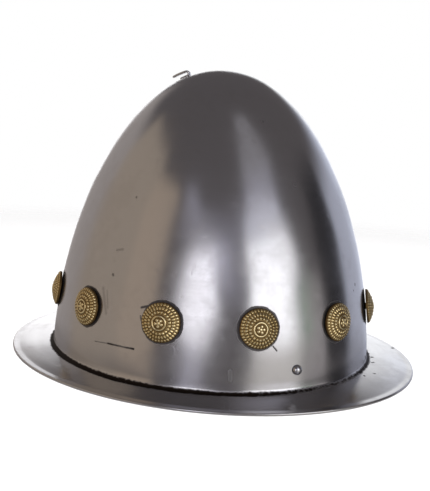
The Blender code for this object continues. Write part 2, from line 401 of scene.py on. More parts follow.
class Effect:
    """A shader node group with named sockets, made once and placed in several materials."""

    def __init__(self, name: str, inputs: dict[str, Value], outputs: Sequence[str]) -> None:
        """Make the group's sockets and its two end nodes.

        Args:
            name: The group's name.
            inputs: Each input's name and its usual value. A triple makes a vector.
            outputs: The names of the outputs, which are all plain values.
        """
        self.tree = bpy.data.node_groups.new(name, "ShaderNodeTree")
        for label, usual in inputs.items():
            kind = "NodeSocketVector" if isinstance(usual, tuple) else "NodeSocketFloat"
            self.tree.interface.new_socket(name=label, in_out="INPUT", socket_type=kind).default_value = usual
        for label in outputs:
            self.tree.interface.new_socket(name=label, in_out="OUTPUT", socket_type="NodeSocketFloat")
        self.bench = Bench(self.tree)
        self.source = self.bench.add("NodeGroupInput").outputs
        self.sink = self.bench.add("NodeGroupOutput").inputs

    def put_out(self, name: str, socket: Socket) -> None:
        """Join a socket to one of the group's outputs."""
        self.tree.links.new(socket, self.sink[name])

    def use(self, bench: Bench, inputs: dict[str, Value]) -> bpy.types.NodeOutputs:
        """Place the group in a tree and return its outputs."""
        return bench.add("ShaderNodeGroup", inputs, node_tree=self.tree).outputs


def make_brushing() -> Effect:
    """Make the fine lines that a polishing wheel leaves.

    Noise is stretched by using coordinates that run slowly along the lines and fast across them.
    """
    effect = Effect("polishing_lines", {"Vector": (0.0, 0.0, 0.0), "Across": 700.0, "Along": 18.0}, ("Lines",))
    bench = effect.bench
    parts = bench.add("ShaderNodeSeparateXYZ", {"Vector": effect.source["Vector"]}).outputs
    slow_x = bench.math("MULTIPLY", parts["X"], effect.source["Along"])
    slow_y = bench.math("MULTIPLY", parts["Y"], effect.source["Along"])
    fast = bench.math("MULTIPLY", parts["Z"], effect.source["Across"])
    fine = bench.add("ShaderNodeCombineXYZ", {"X": slow_x, "Y": slow_y, "Z": fast}).outputs[0]
    coarse = bench.vector("MULTIPLY", fine, (0.45, 0.45, 0.22))
    lines = bench.math("ADD", bench.noise(fine, 1.0, 4.0, 0.6), bench.noise(coarse, 1.0, 2.0))
    effect.put_out("Lines", bench.math("MULTIPLY", lines, 0.5))
    return effect


def make_patina() -> Effect:
    """Make a cloudy mask, such as handling and thin tarnish leave, from two sizes of noise."""
    inputs = {"Vector": (0.0, 0.0, 0.0), "Scale": 20.0, "Low": 0.4, "High": 0.7}
    effect = Effect("cloudy_patina", inputs, ("Mask",))
    bench, source = effect.bench, effect.source
    broad = bench.noise(source["Vector"], source["Scale"], 3.0)
    close = bench.noise(source["Vector"], bench.math("MULTIPLY", source["Scale"], 6.0), 4.0, 0.65)
    blend = bench.math("MULTIPLY_ADD", close, 0.35, bench.math("MULTIPLY", broad, 0.65))
    effect.put_out("Mask", bench.window(blend, source["Low"], source["High"]))
    return effect


def make_grime_and_shade() -> Effect:
    """Make a dark mask of recesses, eaten into by noise so that its edge is ragged: grime and patina, and painted shade
    in the corner, round the fixings and on the rosettes' rim walls.
    """
    inputs = {"Vector": (0.0, 0.0, 0.0), "Recess": 0.0, "Scale": 400.0, "Raggedness": 0.5, "Threshold": 0.35}
    effect = Effect("settled_grime_and_shade", inputs, ("Mask",))
    bench, source = effect.bench, effect.source
    centred = bench.math("SUBTRACT", bench.noise(source["Vector"], source["Scale"], 4.0, 0.6), 0.5)
    ragged = bench.math("MULTIPLY_ADD", centred, source["Raggedness"], source["Recess"])
    limit = source["Threshold"]
    effect.put_out("Mask", bench.window(ragged, limit, bench.math("ADD", limit, 0.35)))
    return effect


def make_wear() -> Effect:
    """Make the bright wear of edges and crests: a mask of crests, thinned by noise."""
    inputs = {"Vector": (0.0, 0.0, 0.0), "Crest": 0.0, "Scale": 250.0, "Threshold": 0.55}
    effect = Effect("edge_wear", inputs, ("Mask",))
    bench, source = effect.bench, effect.source
    centred = bench.math("SUBTRACT", bench.noise(source["Vector"], source["Scale"], 3.0), 0.5)
    thinned = bench.math("MULTIPLY_ADD", centred, 0.5, source["Crest"])
    limit = source["Threshold"]
    effect.put_out("Mask", bench.window(thinned, limit, bench.math("ADD", limit, 0.3)))
    return effect


def make_stroke() -> Effect:
    """Make one scratch or dent: the distance to the line from Start to End, eased at Half Width.

    The nearest point of the line is Start + t (End - Start), with t held between 0 and 1.
    """
    point = (0.0, 0.0, 0.0)
    inputs = {"Vector": point, "Start": point, "End": point, "Half Width": 0.0005, "Waver": 0.0}
    effect = Effect("struck_line", inputs, ("Mask",))
    bench, source = effect.bench, effect.source
    bend = bench.math("SUBTRACT", bench.noise(source["Vector"], 260.0, 2.0), 0.5)
    shift = bench.math("MULTIPLY", bend, source["Waver"])
    reach = bench.vector("SUBTRACT", source["Vector"], source["Start"])
    line = bench.vector("SUBTRACT", source["End"], source["Start"])
    dot = bench.add("ShaderNodeVectorMath", {0: reach, 1: line}, operation="DOT_PRODUCT").outputs["Value"]
    square = bench.add("ShaderNodeVectorMath", {0: line, 1: line}, operation="DOT_PRODUCT").outputs["Value"]
    share = bench.add("ShaderNodeClamp", {"Value": bench.math("DIVIDE", dot, bench.math("ADD", square, 1e-12))})
    scaled = bench.add("ShaderNodeVectorMath", {0: line, "Scale": share.outputs[0]}, operation="SCALE")
    apart = bench.length(bench.vector("SUBTRACT", reach, scaled.outputs["Vector"]))
    apart = bench.math("ADD", apart, shift)
    outer = bench.math("MULTIPLY", source["Half Width"], 1.8)
    effect.put_out("Mask", bench.window(apart, outer, bench.math("MULTIPLY", source["Half Width"], 0.4)))
    return effect


def make_seat_grime_and_shade_ring() -> Effect:
    """Make the dark ring round each rosette: grime at its seat, and painted shade where the rosette shades the steel.

    The map's first coordinate is the share of the turn. Times the number of rosettes, its
    fraction repeats once for each rosette, and with the height it gives the distance from one.
    """
    inputs = {"Map": (0.0, 0.0, 0.0), "Count": 12.0, "Pitch": 0.05, "Height": 0.05, "Radius": 0.0125, "Spread": 0.003}
    effect = Effect("seat_grime_and_shade_ring", inputs, ("Ring", "Distance"))
    bench, source = effect.bench, effect.source
    parts = bench.add("ShaderNodeSeparateXYZ", {"Vector": source["Map"]}).outputs
    turns = bench.math("MULTIPLY_ADD", parts["X"], source["Count"], 0.5)
    across = bench.math("MULTIPLY", bench.math("SUBTRACT", bench.math("FRACT", turns), 0.5), source["Pitch"])
    above = bench.math("SUBTRACT", parts["Y"], source["Height"])
    apart = bench.length(bench.add("ShaderNodeCombineXYZ", {"X": across, "Y": above}).outputs[0])
    outside = bench.math("SUBTRACT", apart, source["Radius"])
    effect.put_out("Ring", bench.window(outside, source["Spread"], 0.0))
    effect.put_out("Distance", apart)
    return effect


@dataclass(frozen=True)
class Effects:
    """The effects that the finishes share."""

    lines: Effect
    patina: Effect
    grime_and_shade: Effect
    wear: Effect
    stroke: Effect
    ring: Effect

    @classmethod
    def make(cls) -> "Effects":
        """Make each effect once."""
        return cls(make_brushing(), make_patina(), make_grime_and_shade(), make_wear(), make_stroke(), make_seat_grime_and_shade_ring())


# --------------------------------------------------------------------------- finishes


@dataclass(frozen=True)
class Mark:
    """One scratch, nick or pit, from one place on the skull or brim to another.

    Attributes:
        start: Angle in degrees from the front towards the right, and height in millimetres.
        end: The same for the other end.
        half_width: Half of its width in millimetres.
        strength: How dark it is, from 0 to 1.
        waver: How far it wanders, in millimetres.
    """

    start: tuple[float, float]
    end: tuple[float, float]
    half_width: float
    strength: float
    waver: float = 0.0

    def ends(self, form: HelmetForm) -> tuple[Vector3, Vector3]:
        """Return both ends as points of the skull."""
        points = [form.skull_point(math.radians(angle), height * MM) for angle, height in (self.start, self.end)]
        return tuple(map(float, points[0])), tuple(map(float, points[1]))


SKULL_MARKS = (
    Mark((108.0, 25.2), (98.3, 25.6), 0.55, 0.95, 0.6),
    Mark((113.5, 24.0), (107.8, 25.2), 0.3, 0.5, 0.4),
    Mark((97.2, 51.6), (94.5, 53.4), 0.6, 0.8, 0.3),
    Mark((97.2, 46.4), (96.8, 44.0), 0.5, 0.6, 0.3),
    Mark((113.2, 58.8), (110.2, 43.6), 0.9, 0.22, 0.8),
    Mark((111.2, 57.6), (109.8, 47.2), 0.6, 0.2, 0.6),
    Mark((110.0, 68.4), (109.8, 68.0), 0.8, 0.6),
    Mark((107.8, 118.0), (107.7, 117.6), 0.6, 0.5),
    Mark((110.5, 83.6), (108.0, 84.8), 0.7, 0.3, 0.8),
    Mark((56.2, 33.6), (55.0, 30.8), 0.45, 0.85, 0.3),
    Mark((69.0, 18.8), (68.8, 13.2), 0.8, 0.5, 0.5),
    Mark((15.2, 65.2), (15.3, 64.6), 0.7, 0.7),
    Mark((17.2, 61.6), (17.3, 61.2), 0.5, 0.5),
    Mark((51.5, 171.6), (51.5, 171.0), 0.6, 0.4),
    Mark((42.2, 132.0), (42.2, 131.4), 0.8, 0.45),
)
BRIM_MARKS = (
    Mark((356.0, 0.06), (356.5, 0.03), 0.9, 0.75),
    Mark((338.5, 0.92), (339.0, 0.88), 1.0, 0.75),
    Mark((2.5, 0.05), (1.5, 0.09), 0.7, 0.6),
    Mark((13.0, 0.24), (13.2, 0.22), 0.7, 0.6),
    Mark((17.5, 0.09), (17.8, 0.10), 0.7, 0.6),
)


@dataclass(frozen=True)
class SteelFinish:
    """Polished sheet steel: bright, with polishing lines, clouding, grime and painted shade in the corner, and marks.
    """

    name: str
    colour: Vector3 = (0.560, 0.553, 0.560)
    tarnish: Vector3 = (0.40, 0.37, 0.35)
    grime_and_shade: Vector3 = (0.028, 0.020, 0.016)
    roughness: float = 0.20
    line_depth: float = 4e-6
    inner_roughness: float = 0.46
    marked: bool = False

    def make(self, effects: Effects) -> bpy.types.Material:
        """Make the material.

        Args:
            effects: The shared effects.

        Returns:
            The material, with a Principled shader of its own.
        """
        material = bpy.data.materials.new(self.name)
        material.use_nodes = True
        material.diffuse_color = (*self.colour, 1.0)
        bench = Bench(material.node_tree)
        shader = material.node_tree.nodes["Principled BSDF"]
        shader.inputs["Metallic"].default_value = 1.0
        coordinates = bench.add("ShaderNodeTexCoord").outputs
        place_on_part, chart = coordinates["Object"], coordinates["UV"]
        lines = self.polishing(bench, effects, place_on_part, chart)
        cloud = effects.patina.use(bench, {"Vector": place_on_part, "Scale": 22.0, "Low": 0.44, "High": 0.62})["Mask"]
        spots = effects.patina.use(bench, {"Vector": place_on_part, "Scale": 150.0, "Low": 0.60, "High": 0.70})["Mask"]
        inside = bench.attribute("inner_face")
        grime_and_shade = self.grime_and_shade_mask(bench, effects, place_on_part, chart)
        marks = self.mark_mask(bench, effects, place_on_part)
        worn = effects.wear.use(bench, {"Vector": place_on_part, "Crest": bench.attribute("cut_edge")})["Mask"]

        colour = bench.mix(bench.math("MULTIPLY", cloud, 0.16), (*self.colour, 1.0), (*self.tarnish, 1.0))
        colour = bench.mix(bench.math("MULTIPLY", spots, 0.18), colour, (*self.tarnish, 1.0))
        colour = bench.mix(bench.math("MULTIPLY", inside, 0.55), colour, (*self.tarnish, 1.0))
        colour = bench.mix(bench.math("MULTIPLY", worn, 0.5), colour, (0.68, 0.67, 0.66, 1.0))
        # The dark colour paints grime, painted shade in the corner and round the rosettes, and the marks.
        colour = bench.mix(bench.math("MAXIMUM", grime_and_shade, marks), colour, (*self.grime_and_shade, 1.0))
        bench.feed(shader.inputs["Base Color"], colour)

        rough = bench.math("MULTIPLY_ADD", cloud, 0.05, self.roughness)
        rough = bench.math("MULTIPLY_ADD", bench.math("SUBTRACT", lines, 0.5), 0.10, rough)
        rough = bench.math("MULTIPLY_ADD", inside, self.inner_roughness - self.roughness, rough)
        rough = bench.math("MULTIPLY_ADD", bench.math("MAXIMUM", grime_and_shade, marks), 0.4, rough)
        bench.feed(shader.inputs["Roughness"], rough)

        pits = bench.math("MULTIPLY", bench.math("MAXIMUM", spots, marks), -1.0)
        grain = bench.add("ShaderNodeBump", {"Height": lines, "Distance": self.line_depth, "Strength": 1.0})
        pitted = bench.add("ShaderNodeBump", {"Height": pits, "Distance": 3e-5, "Strength": 0.6, "Normal": grain.outputs[0]})
        bench.feed(shader.inputs["Normal"], pitted.outputs[0])
        return material

    def polishing(self, bench: Bench, effects: Effects, place_on_part: Socket, chart: Socket) -> Socket:
        """Return polishing lines that run level round the skull and the brim."""
        part = bench.add("ShaderNodeSeparateXYZ", {"Vector": place_on_part}).outputs
        across = bench.add("ShaderNodeSeparateXYZ", {"Vector": chart}).outputs["Y"]
        vector = bench.add("ShaderNodeCombineXYZ", {"X": part["X"], "Y": part["Y"], "Z": across}).outputs[0]
        return effects.lines.use(bench, {"Vector": vector})["Lines"]

    def grime_and_shade_mask(self, bench: Bench, effects: Effects, place_on_part: Socket, chart: Socket) -> Socket:
        """Return the grime and painted shade in the corner of skull and brim, and round the rosettes."""
        # The corner band is painted shade with grime in it.
        corner = {"Vector": place_on_part, "Recess": bench.attribute("crease"), "Raggedness": 0.7, "Threshold": 0.42}
        settled = effects.grime_and_shade.use(bench, corner)["Mask"]
        if not self.marked:
            return settled
        # Each ring paints shade round a rosette's seat, with grime in it.
        ring = effects.ring.use(bench, SHELL.seat_ring_values() | {"Map": chart})["Ring"]
        seats = {"Vector": place_on_part, "Recess": ring, "Raggedness": 0.9, "Threshold": 0.45, "Scale": 300.0}
        return bench.math("MAXIMUM", settled, bench.math("MULTIPLY", effects.grime_and_shade.use(bench, seats)["Mask"], 0.8))

    def mark_mask(self, bench: Bench, effects: Effects, place_on_part: Socket) -> Value:
        """Return the darkest of the charted marks at each point."""
        if not self.marked:
            return 0.0
        masks = bench.math("ADD", 0.0, 0.0)
        ends = [(mark, mark.ends(FORM)) for mark in SKULL_MARKS]
        ends += [(mark, SHELL.brim_ends(mark)) for mark in BRIM_MARKS]
        for mark, (start, end) in ends:
            inputs = {"Vector": place_on_part, "Start": start, "End": end}
            inputs |= {"Half Width": mark.half_width * MM, "Waver": mark.waver * MM}
            stroke = effects.stroke.use(bench, inputs)["Mask"]
            masks = bench.math("MAXIMUM", masks, bench.math("MULTIPLY", stroke, mark.strength))
        return masks


@dataclass(frozen=True)
class BrassFinish:
    """Cast brass: bright on the worn crests, brown patina in the recesses and painted shade on the rim wall, with a
    sandy casting skin.
    """

    name: str
    colour: Vector3 = (0.80, 0.60, 0.27)
    bright: Vector3 = (0.93, 0.78, 0.45)
    patina: Vector3 = (0.13, 0.070, 0.022)
    roughness: float = 0.30

    def make(self, effects: Effects) -> bpy.types.Material:
        """Make the material from the shared effects."""
        material = bpy.data.materials.new(self.name)
        material.use_nodes = True
        material.diffuse_color = (*self.colour, 1.0)
        bench = Bench(material.node_tree)
        shader = material.node_tree.nodes["Principled BSDF"]
        shader.inputs["Metallic"].default_value = 1.0
        place_on_part = bench.add("ShaderNodeTexCoord").outputs["Object"]
        crest, recess = bench.attribute("crest"), bench.attribute("recess")
        # The recess mask paints patina in the face's hollows and painted shade on the rim wall.
        settled = {"Vector": place_on_part, "Recess": recess, "Scale": 900.0, "Raggedness": 0.5, "Threshold": 0.30}
        grime_and_shade = effects.grime_and_shade.use(bench, settled)["Mask"]
        rubbed = {"Vector": place_on_part, "Crest": crest, "Scale": 500.0, "Threshold": 0.55}
        worn = effects.wear.use(bench, rubbed)["Mask"]
        cloud = effects.patina.use(bench, {"Vector": place_on_part, "Scale": 130.0, "Low": 0.42, "High": 0.66})["Mask"]

        colour = bench.mix(bench.math("MULTIPLY", cloud, 0.45), (*self.colour, 1.0), (0.52, 0.35, 0.13, 1.0))
        colour = bench.mix(worn, colour, (*self.bright, 1.0))
        colour = bench.mix(bench.math("MULTIPLY", grime_and_shade, 0.88), colour, (*self.patina, 1.0))
        bench.feed(shader.inputs["Base Color"], colour)
        rough = bench.math("MULTIPLY_ADD", worn, -0.10, bench.math("MULTIPLY_ADD", grime_and_shade, 0.25, self.roughness))
        bench.feed(shader.inputs["Roughness"], rough)
        sand = bench.noise(place_on_part, 1800.0, 3.0, 0.6)
        skin = bench.add("ShaderNodeBump", {"Height": sand, "Distance": 3e-5, "Strength": 0.5})
        bench.feed(shader.inputs["Normal"], skin.outputs[0])
        return material


# --------------------------------------------------------------------------- the shell


@dataclass
class Shell:
    """The skull and brim, raised from one sheet: a closed profile carried round ellipses."""

    form: HelmetForm
    columns: int = 380
    skull_rows: int = 104
    inner_skull_rows: int = 74
    corner_rows: int = 9
    brim_rows: int = 16
    land_rows: int = 5
    edge_rows: int = 5
    edge_round: float = 0.00055
    crease_reach: float = 0.0026
    wave_height: float = 0.00011
    wave_count: int = 14
    wave_lengths: tuple[float, float] = (0.030, 0.075)
    wave_seed: int = 5

    def outer_profile(self) -> np.ndarray:
        """Return rows of half length, half width and height, from the top to the brim's land.

        The skull's rows are even along its curve. The corner is a quarter turn of a circle, and
        the brim falls in a straight line from it to the flat land at the edge.
        """
        form = self.form
        skull_foot = form.brim_rise + form.corner_radius
        start = float(form.share(np.float64(skull_foot)))
        shares = np.sin(np.linspace(0.0, math.pi / 2, 4000)) * start
        heights = form.height_of(shares)
        walked = np.concatenate(([0.0], np.cumsum(np.hypot(np.diff(shares) * form.skull_length / 2, np.diff(heights)))))
        even = np.linspace(0.0, walked[-1], self.skull_rows + 1)[1:]
        shares, heights = np.interp(even, walked, shares), np.interp(even, walked, heights)
        skull = np.stack((form.skull_length / 2 * shares, form.skull_width / 2 * shares, heights), axis=-1)
        turned = np.linspace(math.pi / 2, 0.0, self.corner_rows)[1:]
        reach = form.corner_radius * (1.0 - np.sin(turned))
        rise = form.brim_rise + form.corner_radius * (1.0 - np.cos(turned))
        corner = np.stack((form.skull_length / 2 + reach, form.skull_width / 2 + reach, rise), axis=-1)
        land = (form.brim_length / 2 - form.brim_land, form.brim_width / 2 - form.brim_land, form.sheet)
        slope = np.linspace(corner[-1], land, self.brim_rows + 1)[1:]
        return np.vstack((skull, corner, slope))

    def edge_profile(self) -> np.ndarray:
        """Return the land and the rounded cut edge, from the top face round to the underside."""
        form, radius = self.form, self.edge_round
        half_length, half_width = form.brim_length / 2, form.brim_width / 2
        inward = np.linspace(form.brim_land, radius, self.land_rows + 1)[1:]
        upper = np.stack((half_length - inward, half_width - inward, np.full_like(inward, form.sheet)), axis=-1)
        turned = np.linspace(0.0, math.pi / 2, self.edge_rows + 1)[1:]
        back = radius * (1.0 - np.sin(turned))
        drop = radius * (1.0 - np.cos(turned))
        top_round = np.stack((half_length - back, half_width - back, form.sheet - drop), axis=-1)
        bottom_round = top_round[::-1].copy()
        bottom_round[:, 2] = form.sheet - bottom_round[:, 2]
        lower = upper[::-1].copy()
        lower[:, 2] = 0.0
        return np.vstack((upper, top_round, bottom_round, lower[:-1]))

    def inner_profile(self, outer: np.ndarray) -> np.ndarray:
        """Return the inner face, one sheet inside the outer one, from the brim up to the top."""
        along = np.gradient(outer, axis=0)
        radial = (along[:, 0] + along[:, 1]) / 2
        size = np.hypot(radial, along[:, 2])
        outwards, upwards = -along[:, 2] / size, radial / size
        offset = self.form.sheet * np.stack((outwards, outwards, upwards), axis=-1)
        inner = (outer - offset)[::-1]
        inner[:, 2] = np.maximum(inner[:, 2], 0.0)
        rows = self.brim_rows + self.corner_rows + self.inner_skull_rows
        walked = np.concatenate(([0.0], np.cumsum(np.linalg.norm(np.diff(inner[:, (0, 2)], axis=0), axis=1))))
        kept = np.arange(self.brim_rows + self.corner_rows - 1)
        stops = np.linspace(walked[kept[-1]], walked[-1], rows - len(kept) + 1)[1:]
        stops = np.concatenate((walked[kept], stops))
        return np.stack([np.interp(stops, walked, inner[:, axis]) for axis in range(3)], axis=-1)

    def waves(self, points: np.ndarray) -> np.ndarray:
        """Return the slight unevenness that the hammer leaves: a sum of plane waves in space."""
        random = np.random.default_rng(self.wave_seed)
        directions = random.normal(size=(self.wave_count, 3))
        directions /= np.linalg.norm(directions, axis=1)[:, None]
        lengths = random.uniform(*self.wave_lengths, self.wave_count)
        phases = random.uniform(0.0, 2 * math.pi, self.wave_count)
        turns = points @ (directions * (2 * math.pi / lengths)[:, None]).T + phases
        return self.wave_height * np.sin(turns).sum(axis=-1) / math.sqrt(self.wave_count / 2)

    def skin(self) -> Skin:
        """Return the closed skin, from the top of the skull round the edge to the inner top."""
        form = self.form
        outer, edge = self.outer_profile(), self.edge_profile()
        inner = self.inner_profile(outer)
        profile = np.vstack((outer, edge, inner))
        share = np.linspace(0.0, 1.0, self.columns + 1)
        fine = form.walk(form.rosette_height, self.columns)
        rings = np.empty((len(profile), self.columns, 3))
        rings[..., 0] = profile[:, :1] * np.cos(fine)
        rings[..., 1] = -profile[:, 1:2] * np.sin(fine)
        rings[..., 2] = profile[:, 2:]
        top, inner_top = np.array((0.0, 0.0, form.height)), np.array((0.0, 0.0, form.height - form.sheet))

        along = np.gradient(rings, axis=0)
        around = (np.roll(rings, -1, axis=1) - np.roll(rings, 1, axis=1)) / 2
        normals = np.cross(along, around)
        normals /= np.linalg.norm(normals, axis=-1, keepdims=True)
        outer_side = np.arange(len(profile)) < len(outer)
        inner_side = np.arange(len(profile)) >= len(outer) + len(edge)
        facing = np.where(inner_side, -1.0, 1.0)[:, None, None]
        fade = smooth_step(form.brim_length / 2 - form.brim_land - profile[:, 0], 0.0, 0.02)[:, None, None]
        rings = rings + normals * facing * fade * self.waves(rings)[..., None]
        lift = float(self.waves(top))
        top[2] += lift
        inner_top[2] += lift

        mean_radius = (profile[:, 0] + profile[:, 1]) / 2
        steps = np.hypot(np.diff(mean_radius), np.diff(profile[:, 2]))
        walked = np.concatenate(([0.0], np.cumsum(steps)))
        edge_at = walked[len(outer) + len(edge) // 2]
        corner_at = walked[self.skull_rows + self.corner_rows // 2]
        # A band in the corner of skull and brim, where the finish paints grime and shade.
        crease = np.exp(-(((walked - corner_at) / self.crease_reach) ** 2)) * outer_side
        cut_edge = np.exp(-(((walked - edge_at) / (form.sheet * 0.9)) ** 2))
        inner_face = smooth_step(walked, edge_at + form.sheet, edge_at + 3 * form.sheet)
        one_turn = np.ones(self.columns)
        masks = {"crease": crease, "cut_edge": cut_edge, "inner_face": inner_face}
        masks = {name: values[:, None] * one_turn for name, values in masks.items()}
        masks["crease"] = masks["crease"] * self.crease_strength(fine)
        return Skin(rings, top, inner_top, share, edge_at - walked, masks)

    def crease_strength(self, angles: np.ndarray) -> np.ndarray:
        """Return how strong the grime and painted shade in the corner are, strongest behind the wearer's right side."""
        return 0.72 + 0.28 * np.cos(angles - math.radians(115)) ** 2 + 0.06 * np.cos(5 * angles)

    def profile_distance(self, height: float) -> float:
        """Return the distance along the profile from the cut edge to a height on the skull."""
        outer, edge = self.outer_profile(), self.edge_profile()
        profile = np.vstack((outer, edge))
        mean_radius = (profile[:, 0] + profile[:, 1]) / 2
        walked = np.concatenate(([0.0], np.cumsum(np.hypot(np.diff(mean_radius), np.diff(profile[:, 2])))))
        at_height = np.interp(-height, -outer[: self.skull_rows, 2], walked[: self.skull_rows])
        return float(walked[len(outer) + len(edge) // 2] - at_height)

    def seat_ring_values(self) -> dict[str, Value]:
        """Return the values with which the ring effect finds the rosettes."""
        form = self.form
        share = float(form.share(np.float64(form.rosette_height)))
        mean_diameter = share * (form.skull_length + form.skull_width) / 2
        return {
            "Count": float(form.rosette_count),
            "Pitch": math.pi * mean_diameter / form.rosette_count,
            "Height": self.profile_distance(form.rosette_height),
            "Radius": Rosettes.radius + 0.2 * MM,
            "Spread": 2.6 * MM,
        }

    def brim_ends(self, mark: Mark) -> tuple[Vector3, Vector3]:
        """Return a brim mark's ends. Its second number is the share of the way out over the brim."""
        form = self.form
        ends = []
        for angle, out in (mark.start, mark.end):
            turned = math.radians(angle)
            inner_x, inner_y = form.skull_length / 2 + form.corner_radius, form.skull_width / 2 + form.corner_radius
            x = (inner_x + (form.brim_length / 2 - inner_x) * out) * math.cos(turned)
            y = -(inner_y + (form.brim_width / 2 - inner_y) * out) * math.sin(turned)
            ends.append((x, y, form.brim_rise + (form.sheet - form.brim_rise) * out))
        return ends[0], ends[1]

    def build(self, material: bpy.types.Material) -> bpy.types.Object:
        """Build and dress the shell."""
        return finish_piece("helmet_shell", build_mesh("helmet_shell_finish", [self.skin()]), material)


SHELL = Shell(FORM)


# --------------------------------------------------------------------------- fixings


@dataclass
class Shank:
    """The plain pin behind each fixing, clenched inside the skull."""

    form: HelmetForm
    radius: float = 0.0015
    clench_radius: float = 0.0032
    clench_thickness: float = 0.0010

    def profile(self) -> np.ndarray:
        """Return radius and height from the back of the head to the middle of the clenched end.

        The end is a flattened button: straight at its wall, then a quarter ellipse to the axis.
        """
        inside = -self.form.sheet - self.form.clench_gap
        straight = np.array(((self.radius, 0.0), (self.radius, inside + 0.1 * MM), (self.radius, inside)))
        turned = np.linspace(0.0, math.pi / 2, 9)[:-1]
        button_radius = self.clench_radius * np.cos(turned) ** 0.5
        button_height = inside - self.clench_thickness * np.sin(turned)
        return np.vstack((straight, np.stack((button_radius, button_height), axis=-1)))

    def end(self) -> float:
        """Return the height of the clenched end's middle."""
        return -self.form.sheet - self.form.clench_gap - self.clench_thickness


def turn_profile(radii: np.ndarray, heights: np.ndarray, columns: int) -> np.ndarray:
    """Return rings of points: each row's radius carried round the Z axis at its height.

    Args:
        radii: Rows, or rows by columns where the outline isn't round.
        heights: Rows, or rows by columns.
        columns: The number of points in a ring.

    Returns:
        Points as rows by columns by 3.
    """
    angles = np.linspace(0.0, 2 * math.pi, columns, endpoint=False)
    shape = (len(radii), columns)
    wide_radii = np.broadcast_to(radii if radii.ndim == 2 else radii[:, None], shape)
    wide_heights = np.broadcast_to(heights if heights.ndim == 2 else heights[:, None], shape)
    return np.stack((wide_radii * np.cos(angles), wide_radii * np.sin(angles), wide_heights), axis=-1)


def turned_skin(rings: np.ndarray, first: float, last: float, matrix: np.ndarray, masks: dict[str, np.ndarray]) -> Skin:
    """Return a skin of rings round an axis, with both poles on it, carried into the helmet's frame."""
    rows, columns = rings.shape[:2]
    poles = place(np.array(((0.0, 0.0, first), (0.0, 0.0, last))), matrix)
    along = np.linspace(0.0, 0.03, rows)
    return Skin(place(rings, matrix), poles[0], poles[1], np.linspace(0.0, 1.0, columns + 1), along, masks)


